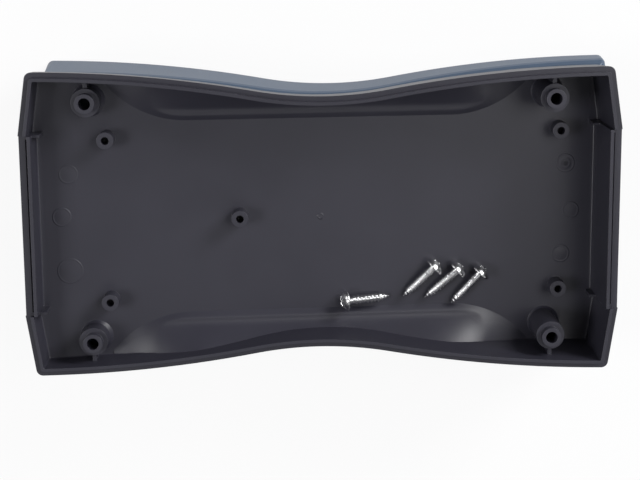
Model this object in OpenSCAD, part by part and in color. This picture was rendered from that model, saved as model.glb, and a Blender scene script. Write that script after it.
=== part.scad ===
// Handheld enclosure: two waisted wedge halves laid back to back, with their loose case screws.
// The front half lies rim down, the rear half lies on its back with the open side up.

/* [Outline] */
// Overall length, end to end
case_l = 160; // [140:1:180]
// Width at the ends
end_w = 82.3; // [78:0.1:90]
// Width at the waist
waist_w = 68.1; // [64:0.1:72]
// Radius of the hollow curve at the waist
waist_r = 100; // [90:1:120]
// Distance of the widest place of the long sides from the middle
crest_x = 79; // [76:0.5:80]
// How far the corners stand back from the ends
corner_back = 2.5; // [1:0.1:4]
// Radius of the corners in plan
corner_r = 1.8; // [1:0.1:3]
// Width of the flat in the middle of each end
flat_w = 48.8; // [40:0.2:56]
// How far that flat is set in
flat_in = 0.2; // [0.2:0.1:1]

/* [Shells] */
// Closed thickness between the two outer faces, at the middle
case_t = 30; // [28:0.5:34]
// Depth of the rear half at the middle, outside
rear_d = 15.9; // [15:0.1:18]
// Slope of the outer faces against the rim, in degrees
wedge_a = 4.25; // [3:0.05:5]
// Wall thickness at the rim
wall = 2.3; // [2:0.1:2.8]
// Floor thickness
floor_t = 2.2; // [1.8:0.1:2.6]
// Draft of the outer walls, in degrees
draft_a = 4.6; // [3:0.1:5.5]
// Draft of the inner walls, in degrees
inner_draft_a = 1.5; // [0.5:0.1:3]
// Radius of the outer edge round the back
back_r = 3; // [2:0.1:4]
// Height of the tongue on the rear rim
tongue_h = 1.6; // [1:0.1:2]
// Thickness of the tongue
tongue_t = 0.9; // [0.7:0.1:1.2]
// Extra inner thickness behind the end flats
flat_extra = 0.9; // [0.6:0.1:1.4]
// Width of the slot between the end flat's land and the tongue
slot_w = 0.5; // [0.3:0.1:0.7]

/* [Finger grooves] */
// Radius of the groove outside
groove_r = 27.8; // [26:0.2:30]
// Distance of the groove's axis from the middle line
groove_y = 43.7; // [42:0.1:45]
// Depth of the groove's axis below the inner floor
groove_drop = 25.2; // [24:0.1:26]
// Half length of the straight part
groove_x = 36; // [30:0.5:40]
// Radius of the ramped ends on the inner floor
ramp_r = 28; // [26:0.2:30]
// Slope of the ramped ends, in degrees
ramp_a = 36; // [34:0.5:45]

/* [Screw bosses] */
// Distance of the bosses from the middle, along the case
boss_x = 62.3; // [58:0.1:64]
// Distance of the bosses from the middle, across the case
boss_y = 32.6; // [31:0.1:34]
// Outer diameter of a boss
boss_d = 7.7; // [7:0.1:8.4]
// Diameter of its spigot
spigot_d = 5.3; // [4.8:0.1:5.8]
// Height of the spigot
spigot_h = 2.5; // [1.5:0.1:3.5]
// Gap between the spigot's top and the rim
spigot_gap = 0.2; // [0.1:0.05:0.5]
// Diameter of the through hole
boss_hole_d = 3.2; // [3:0.1:3.6]
// Diameter of the recess for the screw head
head_recess_d = 6; // [5.8:0.1:6.4]
// Depth of the head's seat below the rim
head_seat = 5.5; // [4.5:0.1:7]
// Diameter of the pilot hole in the front half
pilot_d = 2.5; // [2.3:0.1:2.8]
// Width of the sloping foot round a boss
boss_foot = 0.6; // [0.3:0.1:1]
// Thickness of the ribs from the bosses to the wall
rib_t = 1.1; // [0.8:0.1:1.5]

/* [Board posts] */
// Place of the left pair of posts along the case
post_left_x = -57.6; // [-60:0.1:-50]
// Place of the right pair of posts along the case
post_right_x = 65.9; // [60:0.1:67]
// Distance of the posts from the middle line
post_y = 22.2; // [18:0.1:23]
// Place of the single post along the case
post_mid_x = -22.1; // [-30:0.1:-10]
// Outer diameter of a post
post_d = 4.6; // [4:0.1:5]
// Diameter of its hole
post_hole_d = 2.1; // [1.8:0.1:2.4]
// Height of a post above the floor
post_h = 5.2; // [4:0.1:7]

/* [Case screws] */
// Length under the head
screw_l = 12; // [10:0.5:14]
// Diameter of the shank
screw_d = 2.9; // [2.6:0.1:3.1]
// Diameter of the head
head_d = 5.5; // [5:0.1:5.8]
// Height of the head
head_h = 2; // [1.6:0.1:2.4]

/* [Lay] */
// How far the front half lies beside the rear half, along the case
lay_x = 2.2; // [0:0.1:4]
// How far the front half lies beside the rear half, across the case
lay_y = 0; // [0:0.1:2]

/* [Hidden] */
$fn = 48;
rear_grey = [0.26, 0.26, 0.28];
front_grey = [0.28, 0.32, 0.38];
screw_grey = [0.62, 0.62, 0.6];

end_x = case_l / 2;
flat_y = flat_w / 2;
waist_cy = waist_w / 2 + waist_r;
// The convex long sides are arcs that run out of the waist's arc
side_rise = waist_cy - end_w / 2;
side_r = (crest_x ^ 2 + side_rise ^ 2 - waist_r ^ 2) / (2 * (waist_r - side_rise));
side_cy = end_w / 2 - side_r;
side_a = asin(crest_x / (waist_r + side_r));
corner_tip = [end_x - corner_back, end_w / 2];
facet_a = atan(corner_back / (end_w / 2 - flat_y));
corner_dir = ([0, 1] + [cos(facet_a), sin(facet_a)]) / (1 + sin(facet_a));
corner_side_a = asin((crest_x - corner_tip[0] + corner_r) / side_r);
least_corner_r = 0.4;
// Radius where the inner walls meet the floor
inner_r = 0.5;

// Steps of the arcs, and of the rounded outer edge
corner_steps = 5;
side_steps = 14;
waist_steps = 9;
round_steps = 4;

slope = tan(wedge_a);
front_d = case_t - rear_d;
// Hair's breadth between things that rest on each other
rest_gap = 0.02;
rear_at = [-lay_x / 2, -lay_y / 2, case_t + slope * lay_x + rest_gap];
front_at = [lay_x / 2, lay_y / 2, 0];
cut = 3;

// Middle of the ramped ends, whose rim just laps over the groove's own edge
ramp_lap = 0.1;
groove_half = sqrt((groove_r + floor_t) ^ 2 - groove_drop ^ 2);
ramp_y = groove_y - groove_half + ramp_r - ramp_lap;

// Inner face of the long wall beside a boss
boss_wall_y = side_cy + sqrt(side_r ^ 2 - (crest_x - boss_x) ^ 2) - wall;
boss_foot_h = 0.7;
shoulder_z = -spigot_gap - spigot_h;
// How far the ribs stand in the floor and in the end walls, and below a boss's shoulder
rib_sink = 0.3;
rib_drop = 1;
end_rib_l = 2.4;
end_rib_t = 0.7;
end_rib_h = 7;
// What is left above the floor under a blind hole
hole_floor = 0.4;
// How much shorter a slot is than its flat, and the play round the tongue
slot_short = 2;
rim_play = 0.1;

rear_posts = [
    [post_left_x, post_y], [post_left_x, -post_y],
    [post_right_x, post_y], [post_right_x, -post_y],
    [post_mid_x, 0]
];

// Point, head and cross recess of a screw
point_l = 2.6;
head_edge = 0.5;
dome_steps = 6;
cross_l = 3.2;
cross_w = 0.6;
cross_h = 1.1;
cross_turn = 20;

// Where each loose screw lies on the rear floor: x, y and heading
screw_lay = [
    [31, -15.5, 225],
    [37.5, -16.5, 222],
    [44, -17.5, 228],
    [7, -24.2, 3]
];

// The quarter outline as [kind, angle], from the end flat to the waist
quarter = concat(
    [["flat", 0], ["facet", 0]],
    [for (i = [0 : corner_steps]) ["corner", facet_a + (90 - facet_a) * i / corner_steps]],
    [for (i = [1 : side_steps]) ["side", corner_side_a + (side_a - corner_side_a) * i / side_steps]],
    [for (i = [waist_steps - 1 : -1 : 0]) ["waist", side_a * (i + 0.5) / waist_steps]]
);

// Radius and centre of a corner when the outline is set in
function corner_radius(inset) = max(corner_r - inset, least_corner_r);
function corner_centre(inset) = corner_tip - (inset + corner_radius(inset)) * corner_dir;

// One point of the quarter outline, set in by a distance
function outline_point(spot, inset, flat_more) =
    let (kind = spot[0], a = spot[1])
    kind == "flat" ? [end_x - flat_in - inset - flat_more, flat_y]
    : kind == "facet" ? [end_x - inset / cos(facet_a), flat_y]
    : kind == "corner" ? corner_centre(inset) + corner_radius(inset) * [cos(a), sin(a)]
    : kind == "side" ? [crest_x - (side_r - inset) * sin(a), side_cy + (side_r - inset) * cos(a)]
    : [(waist_r + inset) * sin(a), waist_cy - (waist_r + inset) * cos(a)];

// All spots of the outline with the signs that mirror them, anticlockwise
spots = let (last = len(quarter) - 1) concat(
    [for (i = [0 : last]) [quarter[i], [1, 1]]],
    [for (i = [last : -1 : 0]) [quarter[i], [-1, 1]]],
    [for (i = [0 : last]) [quarter[i], [-1, -1]]],
    [for (i = [last : -1 : 0]) [quarter[i], [1, -1]]]
);

function mirrored(point, signs) = [point[0] * signs[0], point[1] * signs[1]];

function outline(inset, flat_more = 0) =
    [for (s = spots) mirrored(outline_point(s[0], inset, flat_more), s[1])];

// Depth of a sloping face at x, for a depth at the middle
function depth_at(mid_depth, x, lean) = mid_depth + lean * slope * x;

// A level ring at height z, and a ring on the rounding of the sloping end
function level_ring(z, inset, flat_more) =
    [for (p = outline(inset, flat_more)) [p[0], p[1], z]];

function round_ring(mid_depth, lean, inset, radius, draft, turn, flat_more) =
    [for (s = spots)
        let (rim = mirrored(outline_point(s[0], inset, flat_more), s[1]),
             up = radius * (1 - sin(turn)),
             drawn = tan(draft) * (depth_at(mid_depth, rim[0], lean) - up),
             p = mirrored(
                 outline_point(s[0], inset + drawn + radius * (1 - cos(turn)), flat_more), s[1]))
        [p[0], p[1], up - depth_at(mid_depth, p[0], lean)]];

// Flat end of a ring: a ladder between its two long sides, and a sliver at each end facet
spot_count = len(spots);
half_count = spot_count / 2;
ladder = concat([0], [for (i = [2 : half_count - 3]) i], [half_count - 1]);
facet_slivers = [[0, 1, 2], [half_count - 3, half_count - 2, half_count - 1]];
function across(i) = spot_count - 1 - i;
end_faces = concat(
    [for (k = [0 : len(ladder) - 2])
        let (a = ladder[k], b = ladder[k + 1])
        each [[a, b, across(b)], [a, across(b), across(a)]]],
    facet_slivers,
    [for (t = facet_slivers) [across(t[2]), across(t[1]), across(t[0])]]
);

// Skin over rings of equal count that follow each other downwards, closed by its flat ends
module skin(rings) {
    n = spot_count;
    last = len(rings) - 1;
    sides = [for (j = [0 : last - 1], i = [0 : n - 1])
        let (a = j * n + i, b = j * n + (i + 1) % n)
        each [[a, b, b + n], [a, b + n, a + n]]];
    first_end = [for (t = end_faces) [t[2], t[1], t[0]]];
    last_end = [for (t = end_faces) [for (i = t) last * n + i]];
    polyhedron([for (ring = rings) each ring], concat(sides, first_end, last_end), convexity = 8);
}

// A drafted body under the rim plane, with a sloping end and a rounded edge round it
module wedge_body(mid_depth, lean, inset, radius, draft, above = 0, flat_more = 0) {
    turns = [for (i = [0 : round_steps]) 90 * i / round_steps];
    skin(concat(
        [level_ring(above, inset, flat_more)],
        [for (turn = turns) round_ring(mid_depth, lean, inset, radius, draft, turn, flat_more)]
    ));
}

// Open tray with an even wall; what stands on its rim is hollowed with it
module tray(mid_depth, lean) {
    difference() {
        union() {
            wedge_body(mid_depth, lean, 0, back_r, draft_a);
            children();
        }
        wedge_body(mid_depth - floor_t, lean, wall, inner_r, inner_draft_a, cut, flat_extra);
    }
}

// Straight groove along each long side with a conical ramp at both ends, parallel to the floor;
// over adds the thickness that is left above it
module grip_scoops(over) {
    ramp_h = ramp_r / 2;
    ramp_run = ramp_h / tan(ramp_a);
    scoop_l = 2 * (groove_x + ramp_r);
    base_r = ramp_r - (floor_t - over) / sin(ramp_a);
    translate([0, 0, floor_t - rear_d]) rotate([0, wedge_a, 0])
        for (side = [-1, 1])
            intersection() {
                translate([-scoop_l / 2, side * groove_y, -groove_drop])
                    rotate([0, 90, 0]) cylinder(r = groove_r + over, h = scoop_l);
                union() {
                    translate([0, side * ramp_y, 0])
                        cube([2 * groove_x, 2 * ramp_r, 4 * ramp_h], center = true);
                    for (end = [-1, 1])
                        translate([end * groove_x, side * ramp_y, -ramp_h])
                            cylinder(r1 = base_r + ramp_run, r2 = base_r - ramp_run, h = 2 * ramp_h);
                }
            }
}

// Sets its children at each boss, with the boss's x and the side of its wall
module at_bosses() {
    for (sx = [-1, 1], sy = [-1, 1]) {
        $boss_x = sx * boss_x;
        $boss_side = sy;
        translate([$boss_x, sy * boss_y, 0]) children();
    }
}

function rear_floor_z(x) = -depth_at(rear_d - floor_t, x, 1);
function front_floor_z(x) = -depth_at(front_d - floor_t, x, -1);

// Stepped boss from inside the floor up to its spigot, with a sloping foot
module rear_boss(x) {
    floor_z = rear_floor_z(x);
    foot = floor_z - floor_t / 2;
    translate([0, 0, floor_z - boss_foot_h])
        cylinder(d1 = boss_d + 4 * boss_foot, d2 = boss_d, h = 2 * boss_foot_h);
    translate([0, 0, foot]) cylinder(d = boss_d, h = shoulder_z - foot);
    translate([0, 0, foot]) cylinder(d = spigot_d, h = -spigot_gap - foot);
}

// Thin rib from a boss to the long wall beside it
module boss_rib(floor_z, top_z, side) {
    reach = boss_wall_y - boss_y;
    foot = floor_z - rib_sink;
    translate([-rib_t / 2, side > 0 ? 0 : -reach, foot]) cube([rib_t, reach, top_z - foot]);
}

module post(x) {
    foot = rear_floor_z(x) - floor_t / 2;
    translate([0, 0, foot]) cylinder(d = post_d, h = floor_t / 2 + post_h);
}

// Short ribs that stand in the corners of the end flats
module end_ribs() {
    wall_x = end_x - flat_in - wall - flat_extra;
    for (sx = [-1, 1], sy = [-1, 1])
        translate([
            sx * (wall_x + rib_sink - end_rib_l / 2),
            sy * (flat_y - end_rib_t / 2),
            rear_floor_z(sx * wall_x) - rib_sink
        ])
            translate([-end_rib_l / 2, -end_rib_t / 2, 0])
                cube([end_rib_l, end_rib_t, end_rib_h + rib_sink]);
}

// Plug that leaves a standing lip along the inner half of the rim when the tray is hollowed
module tongue_plug() {
    translate([0, 0, -wall])
        linear_extrude(wall + tongue_h)
            polygon(outline(wall - tongue_t, flat_extra));
}

// Narrow slot between the land of an end flat and the tongue behind it
module end_slots() {
    land = wall - tongue_t + flat_extra - slot_w;
    slot_l = flat_w - slot_short;
    for (sx = [-1, 1])
        translate([sx * (end_x - flat_in - land - slot_w / 2), 0, 0])
            cube([slot_w, slot_l, 2 * tongue_h], center = true);
}

module rear_half() {
    difference() {
        union() {
            tray(rear_d, 1) tongue_plug();
            intersection() {
                wedge_body(rear_d, 1, 0, back_r, draft_a);
                grip_scoops(floor_t);
            }
            end_ribs();
            at_bosses() {
                rear_boss($boss_x);
                boss_rib(rear_floor_z($boss_x), shoulder_z - rib_drop, $boss_side);
            }
            for (p = rear_posts) translate([p[0], p[1], 0]) post(p[0]);
        }
        grip_scoops(0);
        end_slots();
        at_bosses() {
            translate([0, 0, -2 * rear_d]) cylinder(d = boss_hole_d, h = 3 * rear_d);
            translate([0, 0, -2 * rear_d]) cylinder(d = head_recess_d, h = 2 * rear_d - head_seat);
        }
        for (p = rear_posts)
            translate([p[0], p[1], rear_floor_z(p[0]) + hole_floor])
                cylinder(d = post_hole_d, h = post_h + cut);
    }
}

// Plain boss that takes the point of a case screw
module front_boss(x) {
    foot = front_floor_z(x) - floor_t / 2;
    translate([0, 0, foot]) cylinder(d = boss_d, h = -spigot_gap - foot);
}

// Rebate on the inside of the front rim, which takes the tongue
module rim_rebate() {
    translate([0, 0, -tongue_h - rim_play])
        linear_extrude(tongue_h + cut)
            polygon(outline(wall - tongue_t - rim_play, flat_extra));
}

module front_half() {
    difference() {
        union() {
            difference() {
                tray(front_d, -1);
                rim_rebate();
            }
            at_bosses() {
                front_boss($boss_x);
                boss_rib(front_floor_z($boss_x), shoulder_z, $boss_side);
            }
        }
        at_bosses()
            translate([0, 0, front_floor_z($boss_x) + hole_floor])
                cylinder(d = pilot_d, h = front_d + cut);
    }
}

// Pan head screw along +Z, the underside of its head at zero and its point downwards
module screw() {
    head_r = head_d / 2;
    dome_h = head_h - head_edge;
    dome_r = (head_r ^ 2 + dome_h ^ 2) / (2 * dome_h);
    dome_a = asin(head_r / dome_r);
    difference() {
        rotate_extrude()
            polygon(concat(
                [[0, -screw_l], [screw_d / 2, point_l - screw_l], [screw_d / 2, 0], [head_r, 0]],
                [for (i = [dome_steps : -1 : 0])
                    let (a = dome_a * i / dome_steps)
                    [dome_r * sin(a), head_h - dome_r + dome_r * cos(a)]]
            ));
        for (turn = [0, 90])
            rotate(turn) translate([0, 0, head_h]) cube([cross_l, cross_w, 2 * cross_h], center = true);
    }
}

// A screw lying on a level floor: head edge and shank touch it, the point looks along +X
module lying_screw() {
    lean = asin((head_d - screw_d) / 2 / (screw_l - point_l));
    translate([0, 0, head_d / 2 * cos(lean) + rest_gap])
        rotate([0, lean, 0]) rotate([0, -90, 0]) rotate(cross_turn) screw();
}

module rear_shell() {
    color(rear_grey) translate(rear_at) rear_half();
}

module front_shell() {
    color(front_grey) translate(front_at) rotate([180, 0, 0]) front_half();
}

module case_screws() {
    color(screw_grey)
        for (s = screw_lay)
            translate(rear_at + [s[0], s[1], rear_floor_z(s[0])])
                rotate([0, wedge_a, 0]) rotate(s[2]) lying_screw();
}

rear_shell();
front_shell();
case_screws();
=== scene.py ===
import bmesh
import bpy
import math
import numpy as np
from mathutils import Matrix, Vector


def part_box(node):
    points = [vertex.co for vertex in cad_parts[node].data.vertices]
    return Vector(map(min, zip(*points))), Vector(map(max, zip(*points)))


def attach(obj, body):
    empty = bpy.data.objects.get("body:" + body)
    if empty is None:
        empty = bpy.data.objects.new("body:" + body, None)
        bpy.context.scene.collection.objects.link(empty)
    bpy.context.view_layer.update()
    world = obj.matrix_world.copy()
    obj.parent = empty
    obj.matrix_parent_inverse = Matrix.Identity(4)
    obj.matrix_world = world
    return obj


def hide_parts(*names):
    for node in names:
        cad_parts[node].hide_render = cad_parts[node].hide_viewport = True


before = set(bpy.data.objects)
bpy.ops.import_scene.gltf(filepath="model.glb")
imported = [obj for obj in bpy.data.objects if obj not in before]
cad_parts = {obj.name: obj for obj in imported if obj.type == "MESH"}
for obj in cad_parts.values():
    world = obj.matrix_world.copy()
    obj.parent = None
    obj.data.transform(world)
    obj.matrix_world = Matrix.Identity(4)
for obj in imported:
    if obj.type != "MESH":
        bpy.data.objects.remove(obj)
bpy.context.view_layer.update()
print("frame loaded with", len(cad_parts), "solids")

mm = 0.001

# the rear half's own frame: middle of its rim, worked out from the solid's box
rearHalf = {
    "tongueHeight": 1.6 * mm,
    "floorDepth": 13.7 * mm,  # inner floor below the rim, at the middle
    "slope": math.tan(math.radians(4.25)),
}
rearLow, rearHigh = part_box("rear_shell")
rearRim = np.array([
    (rearLow.x + rearHigh.x) / 2,
    (rearLow.y + rearHigh.y) / 2,
    rearHigh.z - rearHalf["tongueHeight"],
])


# one socket of a node tree: sums, differences and products on it add Math nodes
class Wire:
    def __init__(self, tree, socket=None):
        self.tree = tree
        self.socket = socket

    # any node: its type, its settings, then the values or links of its sockets
    def node(self, kind, settings=None, sockets=None, output=0):
        made = self.tree.nodes.new(kind)
        for name, value in (settings or {}).items():
            setattr(made, name, value)
        for name, value in (sockets or {}).items():
            if isinstance(value, Wire):
                self.tree.links.new(value.socket, made.inputs[name])
            else:
                made.inputs[name].default_value = value
        return Wire(self.tree, made.outputs[output] if len(made.outputs) else None)

    def maths(self, operation, first, second):
        return self.node("ShaderNodeMath", {"operation": operation}, {0: first, 1: second})

    def __add__(self, other):
        return self.maths("ADD", self, other)

    def __radd__(self, other):
        return self.maths("ADD", other, self)

    def __sub__(self, other):
        return self.maths("SUBTRACT", self, other)

    def __rsub__(self, other):
        return self.maths("SUBTRACT", other, self)

    def __mul__(self, other):
        return self.maths("MULTIPLY", self, other)

    def __rmul__(self, other):
        return self.maths("MULTIPLY", other, self)


def newMaterial(name):
    material = bpy.data.materials.new(name)
    material.use_nodes = True
    material.node_tree.nodes.clear()
    return material, Wire(material.node_tree)


# moulded plastic: broad unevenness of tone and gloss, under a fine spark-eroded grain
def mouldedPlastic(name, look):
    material, net = newMaterial(name)
    place = net.node("ShaderNodeTexCoord", output="Object")
    cloud = net.node("ShaderNodeTexNoise", None, {
        "Vector": place, "Scale": look["cloudScale"], "Detail": 3.0})
    grain = net.node("ShaderNodeTexNoise", None, {
        "Vector": place, "Scale": look["grainScale"], "Detail": 2.0, "Roughness": 0.6})
    tone = net.node("ShaderNodeMix", {"data_type": "RGBA"}, {
        0: cloud, 6: (*look["darkTone"], 1), 7: (*look["lightTone"], 1)}, output=2)
    roughness = look["roughness"] + look["cloudGloss"] * (cloud - 0.5) + look["grainGloss"] * (grain - 0.5)
    edge = net.node("ShaderNodeBevel", {"samples": 6}, {"Radius": look["edgeRadius"]})
    bump = net.node("ShaderNodeBump", None, {
        "Strength": look["bumpStrength"], "Distance": look["bumpDepth"], "Height": grain, "Normal": edge})
    shader = net.node("ShaderNodeBsdfPrincipled", None, {
        "Base Color": tone, "Roughness": roughness, "IOR": look["ior"], "Normal": bump})
    net.node("ShaderNodeOutputMaterial", None, {"Surface": shader})
    return material


# bright zinc: small clouds of tone and gloss, with a faint unevenness
def zincPlate(name, look):
    material, net = newMaterial(name)
    place = net.node("ShaderNodeTexCoord", output="Object")
    cloud = net.node("ShaderNodeTexNoise", None, {
        "Vector": place, "Scale": look["cloudScale"], "Detail": 4.0})
    tone = net.node("ShaderNodeMix", {"data_type": "RGBA"}, {
        0: cloud, 6: (*look["darkTone"], 1), 7: (*look["lightTone"], 1)}, output=2)
    roughness = look["roughness"] + look["cloudGloss"] * (cloud - 0.5)
    bump = net.node("ShaderNodeBump", None, {
        "Strength": look["bumpStrength"], "Distance": look["bumpDepth"], "Height": cloud})
    shader = net.node("ShaderNodeBsdfPrincipled", None, {
        "Base Color": tone, "Metallic": 1.0, "Roughness": roughness, "Normal": bump})
    net.node("ShaderNodeOutputMaterial", None, {"Surface": shader})
    return material


def dress(piece, material):
    piece.data.materials.clear()
    piece.data.materials.append(material)


# faces of a grid of points (rows, columns, 3): columns close round, and a lid closes each end row
def gridFaces(rows, columns, start, flip=False):
    row, column = np.meshgrid(np.arange(rows - 1), np.arange(columns), indexing="ij")
    beside = (column + 1) % columns
    corners = (row * columns + column, row * columns + beside,
               (row + 1) * columns + beside, (row + 1) * columns + column)
    quads = np.stack(corners, axis=-1).reshape(-1, 4) + start
    first = start + np.arange(columns)[::-1]
    last = start + (rows - 1) * columns + np.arange(columns)
    faces = quads.tolist() + [first.tolist(), last.tolist()]
    return [face[::-1] for face in faces] if flip else faces


def makeMesh(name, points, faces):
    mesh = bpy.data.meshes.new(name)
    mesh.from_pydata(points.reshape(-1, 3).tolist(), [], faces)
    mesh.validate()
    mesh.update()
    piece = bpy.data.objects.new(name, mesh)
    bpy.context.scene.collection.objects.link(piece)
    return piece


# swell of each finger groove on the floor of the rear half, in that half's own frame
gripSwell = {
    "waistRadius": 100 * mm,
    "waistHalf": 34.05 * mm,  # half width of the rim at the waist
    "sideHalf": 41.15 * mm,  # half width at the ends
    "crestX": 79 * mm,
    "wall": 2.3 * mm,
    "wallDraft": math.tan(math.radians(1.5)),
    "footY": 26.6 * mm,  # foot of the step on the floor
    "rampX": 36 * mm,
    "rampRadius": 28 * mm,
    "stepSlope": math.tan(math.radians(40)),
    "endSlope": math.tan(math.radians(20)),
    "turnFrom": 0.1,  # share of the turn round the end where the slope starts to ease
    "turnTo": 0.7,
    "crestHeight": 1.2 * mm,
    "coveY": 29.7 * mm,
    "coveBend": 0.35 * mm,
    "coveSlope": 1.12,
    "riseFrom": 56 * mm,  # the cove grows from here inwards
    "riseTo": 30 * mm,
    "blend": 0.12 * mm,
    "startY": 26.2 * mm,
    "halfLength": 57.6 * mm,
    "columns": 241,
    "rows": 57,
    # solid's own groove: the filling stays inside its wall
    "grooveY": 43.7 * mm,
    "grooveRadius": 27.8 * mm,
    "grooveDrop": 25.2 * mm,
    "grooveEnd": math.radians(36),
    "floorWall": 2.2 * mm,
    "grooveFootY": 27.32 * mm,  # foot of its end cones on the floor
    "leastWall": 0.3 * mm,
    "bury": 1.2 * mm,  # underside of the filling below the lower of the two forms
    "sunk": 0.05 * mm,
    "wallBite": 0.4 * mm,  # how far the filling runs into the long wall
    "wallGap": 0.08 * mm,
    "cutGap": 0.01 * mm,
    "leastCut": 0.03 * mm,
    "cutTop": 9.5 * mm,
    "mergeAt": 0.0005 * mm,
    "bodySharp": math.radians(25),
    "fillingSharp": math.radians(40),
}


def floorHeight(x):
    return rearRim[2] - rearHalf["floorDepth"] - rearHalf["slope"] * x


def floorPoint(x, y):
    return np.array([rearRim[0] + x, rearRim[1] + y, floorHeight(x)])


# inner face of the long wall: hollow arc at the waist, then the arc of the long side, both set in
def innerWall(look, x, above):
    inset = look["wall"] + look["wallDraft"] * (rearRim[2] - floorHeight(x) - above)
    waistY = look["waistHalf"] + look["waistRadius"]
    rise = waistY - look["sideHalf"]
    spread = look["crestX"] ** 2 + rise ** 2 - look["waistRadius"] ** 2
    sideRadius = spread / (2 * (look["waistRadius"] - rise))
    meeting = look["crestX"] * look["waistRadius"] / (look["waistRadius"] + sideRadius)
    atWaist = waistY - np.sqrt((look["waistRadius"] + inset) ** 2 - np.minimum(np.abs(x), meeting) ** 2)
    atSide = look["sideHalf"] - sideRadius + np.sqrt(
        (sideRadius - inset) ** 2 - (look["crestX"] - np.abs(x)) ** 2)
    return np.where(np.abs(x) < meeting, atWaist, atSide)


def easeStep(value, start, end):
    share = np.clip((value - start) / (end - start), 0, 1)
    return share * share * (3 - 2 * share)


def turnOutwards(mesh):
    net = bmesh.new()
    net.from_mesh(mesh)
    bmesh.ops.recalc_face_normals(net, faces=net.faces)
    net.to_mesh(mesh)
    net.free()


def rampReach(look, x, y, footY):
    past = np.maximum(np.abs(x) - look["rampX"], 0)
    away = np.hypot(past, footY + look["rampRadius"] - y)
    return look["rampRadius"] - away, past / away


# swell: a ramp up from its foot line, which is straight with round ends, steep along the step and gentle
# at the ends; behind it a cove, crest + slope * bend * log(1 + exp((y - start) / bend)), that fades out
# towards the ends; the height is the lower of the two, with a soft crest
def swellHeight(look, x, y):
    reach, turn = rampReach(look, x, y, look["footY"])
    ease = easeStep(turn, look["turnFrom"], look["turnTo"])
    slope = look["stepSlope"] + (look["endSlope"] - look["stepSlope"]) * ease
    bend = look["coveBend"]
    cove = look["coveSlope"] * bend * np.logaddexp(0, (y - look["coveY"]) / bend)
    dish = look["crestHeight"] + cove * easeStep(np.abs(x), look["riseFrom"], look["riseTo"])
    return -look["blend"] * np.logaddexp(-slope * reach / look["blend"], -dish / look["blend"])


# the groove as the solid has it, outside (over = 0) or on the inner floor (over = floor wall): the lower of
# a cylinder along x and a cone at each end
def solidHeight(look, x, y, over):
    reach, turn = rampReach(look, x, y, look["grooveFootY"])
    hump = np.sqrt((look["grooveRadius"] + over) ** 2 - (y - look["grooveY"]) ** 2) - look["grooveDrop"]
    setBack = (look["floorWall"] - over) / math.sin(look["grooveEnd"])
    cone = math.tan(look["grooveEnd"]) * (reach - setBack)
    return np.where(turn > 0, np.minimum(hump, cone), hump)


# a closed slab between two sheets of heights over the floor, from the foot line out to the wall
def swellSlab(look, name, side, gap, sheets):
    x = np.linspace(-look["halfLength"], look["halfLength"], look["columns"])[None, :]
    share = np.linspace(0, 1, look["rows"])[:, None]
    y = look["startY"] + (innerWall(look, x, 0.0) - gap - look["startY"]) * share
    layers = []
    for sheet in sheets:
        above = sheet(x, y)
        y = look["startY"] + (innerWall(look, x, above) - gap - look["startY"]) * share
        layers.append(np.stack((
            x + 0 * y + rearRim[0], side * y + rearRim[1], floorHeight(x) + above), axis=-1))
    points = np.concatenate(layers).reshape(-1, 3)
    lower, upper = np.arange(points.shape[0]).reshape(2, look["rows"], look["columns"])
    edges = ((lower[0], upper[0]), (lower[-1], upper[-1]),
             (lower[:, 0], upper[:, 0]), (lower[:, -1], upper[:, -1]))
    strips = [np.stack((a[:-1], a[1:], b[1:], b[:-1]), axis=-1) for a, b in edges]
    covers = [np.stack((g[:-1, :-1], g[:-1, 1:], g[1:, 1:], g[1:, :-1]), axis=-1).reshape(-1, 4)
              for g in (lower, upper)]
    slab = makeMesh(name, points, np.concatenate(covers + strips).tolist())
    turnOutwards(slab.data)
    return slab


def fillingSlab(look, side):
    def top(x, y):
        return np.maximum(swellHeight(look, x, y), -look["sunk"])

    def bottom(x, y):
        least = np.minimum(swellHeight(look, x, y), solidHeight(look, x, y, look["floorWall"]))
        buried = np.maximum(least, -look["sunk"]) - look["bury"]
        return np.maximum(buried, solidHeight(look, x, y, 0.0) + look["leastWall"])

    name = "nearFilling" if side < 0 else "farFilling"
    return swellSlab(look, name, side, -look["wallBite"], (bottom, top))


def clearingSlab(look, side):
    def bottom(x, y):
        return np.maximum(swellHeight(look, x, y) + look["cutGap"], look["leastCut"])

    def top(x, y):
        return np.full_like(y, look["cutTop"])

    return swellSlab(look, "clearing", side, look["wallGap"], (bottom, top))


# a solid's bare triangles as a new merged mesh, without the normals that it was loaded with
def mergedCopy(name, node, mergeAt):
    points = np.empty(3 * len(node.data.vertices))
    node.data.vertices.foreach_get("co", points)
    corners = np.empty(len(node.data.loops), dtype=int)
    node.data.loops.foreach_get("vertex_index", corners)
    piece = makeMesh(name, points, corners.reshape(-1, 3).tolist())
    net = bmesh.new()
    net.from_mesh(piece.data)
    bmesh.ops.remove_doubles(net, verts=net.verts, dist=mergeAt)
    net.to_mesh(piece.data)
    net.free()
    return piece


# a merged copy of the solid whose swells are cleared down to the form above
def makeRearHalf(node, look):
    body = mergedCopy("rearHalf", node, look["mergeAt"])
    slabs = [clearingSlab(look, side) for side in (-1, 1)]
    for slab in slabs:
        clearing = body.modifiers.new("clearing", "BOOLEAN")
        clearing.operation = "DIFFERENCE"
        clearing.solver = "EXACT"
        clearing.object = slab
    finished = body.evaluated_get(bpy.context.evaluated_depsgraph_get())
    mesh = bpy.data.meshes.new_from_object(finished)
    body.modifiers.clear()
    body.data = mesh
    for slab in slabs:
        bpy.data.objects.remove(slab)
    return body


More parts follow.
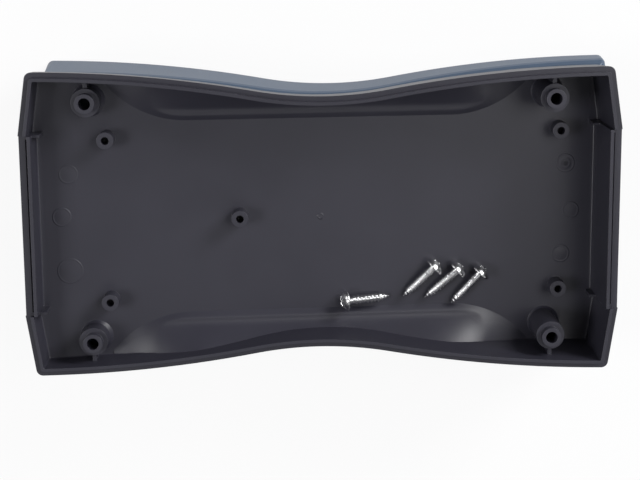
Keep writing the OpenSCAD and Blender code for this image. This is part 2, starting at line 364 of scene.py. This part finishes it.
rearPlastic = {
    "darkTone": (0.026, 0.0253, 0.036),
    "lightTone": (0.033, 0.0322, 0.046),
    "roughness": 0.42,
    "cloudScale": 55.0,
    "cloudGloss": 0.10,
    "grainScale": 3200.0,
    "grainGloss": 0.12,
    "bumpStrength": 0.25,
    "bumpDepth": 0.00003,
    "edgeRadius": 0.2 * mm,  # softened moulding edges
    "ior": 1.5,
}
# front half: the same dark grey plastic as the rear half; the blue in its tones is a painted bluish
# reflection of the light on its walls, not a dye
frontPlasticBlueSheen = dict(
    rearPlastic,
    darkTone=(0.042, 0.071, 0.120),
    lightTone=(0.052, 0.084, 0.138),
)
rearBody = makeRearHalf(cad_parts["rear_shell"], gripSwell)
rearSatin = mouldedPlastic("rearSatinPlastic", rearPlastic)
dress(rearBody, rearSatin)
rearBody.data.shade_smooth()
rearBody.data.set_sharp_from_angle(angle=gripSwell["bodySharp"])
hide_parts("rear_shell")
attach(rearBody, "root")
print("rear half recut:", len(rearBody.data.polygons), "faces")
for side in (-1, 1):
    filling = fillingSlab(gripSwell, side)
    dress(filling, rearSatin)
    filling.data.shade_smooth()
    filling.data.set_sharp_from_angle(angle=gripSwell["fillingSharp"])
    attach(filling, "root")
print("swells filled")
dress(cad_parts["front_shell"], mouldedPlastic("frontSatinPlasticBlueSheen", frontPlasticBlueSheen))
print("both halves dressed")

caseScrew = {
    "length": 12 * mm,
    "crestRadius": 1.45 * mm,
    "coreRadius": 1.08 * mm,
    "pitch": 1.05 * mm,
    "ridgeShare": 0.62,  # width of a ridge's foot, as a share of the pitch
    "pointLength": 2.6 * mm,
    "runOut": 0.9 * mm,  # plain neck under the head
    "crestFlat": 1.25,  # above 1, the ridge has a flat crest
    "tipShare": 0.02,
    "taperPower": 0.8,
    "headRadius": 2.75 * mm,
    "headHeight": 2 * mm,
    "headEdge": 0.5 * mm,
    "headNeck": 0.2,  # first ring of the underside, as a share of the core
    "headUnder": 0.97,  # rings as shares of the head's radius
    "headTop": 0.02,
    "edgeRound": 0.04 * mm,
    "crossLength": 3.2 * mm,
    "crossWidth": 0.6 * mm,
    "crossDepth": 1.1 * mm,
    "crossEndSlope": 0.25 * mm,
    "crossSideSlope": 0.08 * mm,
    "crossTurn": 20.0,
    "turns": 48,
    "rows": 200,
    "headRows": 40,
    "restGap": 0.02 * mm,
    # x and y on the rear half's floor, and heading of the point
    "lay": ((31, -15.5, 225), (37.5, -16.5, 222), (44, -17.5, 228), (7, -24.2, 3)),
}


# thread: radius = core + ridge height, where the ridge is a tent over the part of a pitch that
# (height / pitch + angle / turn) has reached; it fades under the head, and the point is a cone
def threadedShank(screw):
    angle = np.linspace(0, 2 * math.pi, screw["turns"], endpoint=False)[None, :]
    height = np.linspace(0, -screw["length"], screw["rows"])[:, None]
    reached = (height / screw["pitch"] + angle / (2 * math.pi)) % 1.0
    tent = np.clip(1 - np.abs(reached - 0.5) * 2 / screw["ridgeShare"], 0, 1)
    fade = np.clip((-height - screw["runOut"]) / screw["pitch"], 0, 1)
    crest = np.minimum(tent * screw["crestFlat"], 1) * fade
    left = (screw["length"] + height) / screw["pointLength"]
    taper = np.clip(left, screw["tipShare"], 1) ** screw["taperPower"]
    radius = (screw["coreRadius"] + (screw["crestRadius"] - screw["coreRadius"]) * crest) * taper
    return np.stack((radius * np.cos(angle), radius * np.sin(angle),
                     height + 0 * radius), axis=-1)


# pan head: a profile turned round the axis, underside, edge and dome, with the cross pressed in
def panHead(screw):
    angle = np.linspace(0, 2 * math.pi, 2 * screw["turns"], endpoint=False)[None, :]
    r = screw["headRadius"]
    rise = screw["headHeight"] - screw["headEdge"]
    domeRadius = (r ** 2 + rise ** 2) / (2 * rise)
    swing = np.linspace(math.asin(r / domeRadius), 0.0, screw["headRows"])
    domeR = domeRadius * np.sin(swing)
    domeZ = screw["headHeight"] - domeRadius + domeRadius * np.cos(swing)
    underR = [screw["headNeck"] * screw["coreRadius"], r * screw["headUnder"], r, r]
    underZ = [0.0, 0.0, screw["edgeRound"], screw["headEdge"]]
    profileR = np.concatenate((underR, domeR[1:-1], [screw["headTop"] * r]))
    profileZ = np.concatenate((underZ, domeZ[1:-1], [screw["headHeight"]]))
    x = profileR[:, None] * np.cos(angle)
    y = profileR[:, None] * np.sin(angle)
    top = profileZ[:, None] + 0 * x
    armX, armY = [
        np.clip((screw["crossLength"] / 2 - np.abs(along)) / screw["crossEndSlope"], 0, 1)
        * np.clip((screw["crossWidth"] / 2 - np.abs(beside)) / screw["crossSideSlope"] + 0.5, 0, 1)
        for along, beside in ((x, y), (y, x))]
    pressed = np.maximum(armX, armY) * screw["crossDepth"] * (profileZ[:, None] > screw["headEdge"])
    return np.stack((x, y, top - pressed), axis=-1)


def turnAbout(axis, degrees):
    c = math.cos(math.radians(degrees))
    s = math.sin(math.radians(degrees))
    if axis == "y":
        return np.array([[c, 0, s], [0, 1, 0], [-s, 0, c]])
    return np.array([[c, -s, 0], [s, c, 0], [0, 0, 1]])


def makeScrews(screw):
    shank = threadedShank(screw)
    head = panHead(screw)
    lean = math.degrees(math.asin(
        (screw["headRadius"] - screw["crestRadius"]) / (screw["length"] - screw["pointLength"])))
    lift = screw["headRadius"] * math.cos(math.radians(lean)) + screw["restGap"]
    lying = turnAbout("y", lean) @ turnAbout("y", -90) @ turnAbout("z", screw["crossTurn"])
    floorTilt = turnAbout("y", math.degrees(math.atan(rearHalf["slope"])))
    points, faces, count = [], [], 0
    for x, y, heading in screw["lay"]:
        foot = floorPoint(x * mm, y * mm)
        turned = floorTilt @ turnAbout("z", heading)
        for part in (shank, head):
            body = part.reshape(-1, 3) @ lying.T + np.array([0, 0, lift])
            points.append(body @ turned.T + foot)
            rows, columns = part.shape[:2]
            faces += gridFaces(rows, columns, count, flip=part is shank)
            count += rows * columns
    return makeMesh("caseScrews", np.concatenate(points), faces)


zinc = {
    "darkTone": (0.60, 0.60, 0.62),
    "lightTone": (0.74, 0.74, 0.75),
    "roughness": 0.24,
    "cloudScale": 900.0,
    "cloudGloss": 0.16,
    "bumpStrength": 0.2,
    "bumpDepth": 0.00002,
}
screws = makeScrews(caseScrew)
dress(screws, zincPlate("brightZinc", zinc))
screws.data.shade_smooth()
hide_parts("case_screws")
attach(screws, "root")
print("screws made:", len(screws.data.polygons), "faces")

# round marks that the mould's ejector pins and its gate leave on the floor of the rear half
mouldMarks = {
    "plateau": 0.02 * mm,
    "ridge": 0.07 * mm,
    "ridgeWidth": 0.16 * mm,
    "sunk": 0.1 * mm,
    "skirt": 2.5,  # ridge widths past the mark's radius
    "middleShare": 0.02,
    "rows": 24,
    "columns": 40,
    # x, y and diameter, in the rear half's own frame
    "places": ((-68.2, 12.6, 4.8), (-70.3, 0.9, 4.8), (-68.6, -14.1, 6.7), (68.1, 12.4, 4.8),
               (68.1, 12.4, 2.4), (69.8, -0.9, 4.3), (67.2, -13.2, 4.6), (-0.1, -0.7, 1.3)),
}


# a mark: height = plateau + ridge * bell((radius - mark radius) / ridge width), sunk at its outer edge
def makeMarks(look):
    angle = np.linspace(0, 2 * math.pi, look["columns"], endpoint=False)[None, :]
    tilt = turnAbout("y", math.degrees(math.atan(rearHalf["slope"])))
    points, faces, count = [], [], 0
    for x, y, across in look["places"]:
        reach = across / 2 * mm + look["skirt"] * look["ridgeWidth"]
        radius = np.linspace(reach, look["middleShare"] * reach, look["rows"])[:, None]
        bell = np.exp(-((radius - across / 2 * mm) / look["ridgeWidth"]) ** 2)
        height = look["plateau"] * (radius < across / 2 * mm) + look["ridge"] * bell
        height[0] = -look["sunk"]
        disc = np.stack((radius * np.cos(angle), radius * np.sin(angle), height + 0 * angle), axis=-1)
        foot = floorPoint(x * mm, y * mm)
        points.append(disc.reshape(-1, 3) @ tilt.T + foot)
        faces += gridFaces(look["rows"], look["columns"], count)
        count += look["rows"] * look["columns"]
    return makeMesh("mouldMarks", np.concatenate(points), faces)


marks = makeMarks(mouldMarks)
dress(marks, rearSatin)
marks.data.shade_smooth()
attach(marks, "root")
print("mould marks made:", len(mouldMarks["places"]))

studio = {
    "floorSize": 6.0,
    "floorTone": (0.86, 0.86, 0.87),
    "whiteShare": 0.9,  # how much of the floor the camera sees as plain white
    "skyStrength": 0.12,
}


def makeFloor(look):
    half = look["floorSize"] / 2
    corners = np.array([[-half, -half, 0], [half, -half, 0], [half, half, 0], [-half, half, 0]])
    floor = makeMesh("floor", corners, [[0, 1, 2, 3]])
    material, net = newMaterial("paleFloor")
    rays = net.node("ShaderNodeLightPath", output="Is Camera Ray")
    glossy = net.node("ShaderNodeLightPath", output="Is Glossy Ray")
    through = net.node("ShaderNodeLightPath", output="Is Transmission Ray")
    matt = net.node("ShaderNodeBsdfDiffuse", None, {"Color": (*look["floorTone"], 1)})
    white = net.node("ShaderNodeEmission", None, {"Color": (1, 1, 1, 1), "Strength": 1.0})
    share = (rays + glossy + through) * look["whiteShare"]
    mixed = net.node("ShaderNodeMixShader", None, {0: share, 1: matt, 2: white})
    net.node("ShaderNodeOutputMaterial", None, {"Surface": mixed})
    dress(floor, material)
    return floor


def makeSky(look):
    world = bpy.data.worlds.new("softTent")
    world.use_nodes = True
    world.node_tree.nodes.clear()
    net = Wire(world.node_tree)
    seen = net.node("ShaderNodeLightPath", output="Is Camera Ray")
    strength = look["skyStrength"] + (1 - look["skyStrength"]) * seen  # plain white behind the object
    tent = net.node("ShaderNodeBackground", None, {"Color": (1.0, 1.0, 1.0, 1), "Strength": strength})
    net.node("ShaderNodeOutputWorld", None, {"Surface": tent})
    bpy.context.scene.world = world


# soft boxes: place, width and height in metres, power in watts
softBoxes = {
    "overRight": ((0.45, 0.15, 0.85), 0.5, 0.5, 2.4),
    "overLeft": ((-0.6, -0.02, 0.76), 0.3, 0.3, 3.3),
    "overNear": ((0.0, -0.55, 0.8), 0.5, 0.5, 0.6),
    "leftFar": ((-0.85, 0.45, 0.45), 0.4, 0.4, 1.2),
    "rightFar": ((0.75, 0.6, 0.4), 0.4, 0.4, 9.0),
    "rightNear": ((0.75, -0.6, 0.4), 0.4, 0.4, 1.2),
}


def makeLights(boxes):
    for name, (place, width, height, power) in boxes.items():
        lamp = bpy.data.lights.new(name, "AREA")
        lamp.shape = "RECTANGLE"
        lamp.size = width
        lamp.size_y = height
        lamp.energy = power
        box = bpy.data.objects.new(name, lamp)
        box.location = place
        box.rotation_mode = "QUATERNION"
        aim = -box.location
        box.rotation_quaternion = aim.to_track_quat("-Z", "Y")
        bpy.context.scene.collection.objects.link(box)


makeFloor(studio)
makeSky(studio)
makeLights(softBoxes)
print("floor and light set")

# camera fitted to the rim corners and bosses of the photograph, 640 by 480 pixels
photoCamera = {
    "place": (-10.526 * mm, 88.919 * mm, 445.339 * mm),  # from the middle of the rear rim
    "turnDegrees": (-11.8531, -1.2796, -0.4926),
    "focalPixels": 1700.0,
    "imageWidth": 640,
    "sensorWidth": 36.0,
}


def makeCamera(view):
    lens = bpy.data.cameras.new("photoCamera")
    lens.sensor_width = view["sensorWidth"]
    lens.lens = view["focalPixels"] * view["sensorWidth"] / view["imageWidth"]
    camera = bpy.data.objects.new("photoCamera", lens)
    camera.location = rearRim + np.array(view["place"])
    camera.rotation_mode = "ZXY"
    camera.rotation_euler = [math.radians(a) for a in view["turnDegrees"]]
    bpy.context.scene.collection.objects.link(camera)
    bpy.context.scene.camera = camera


makeCamera(photoCamera)
bpy.context.scene.view_settings.view_transform = "Standard"
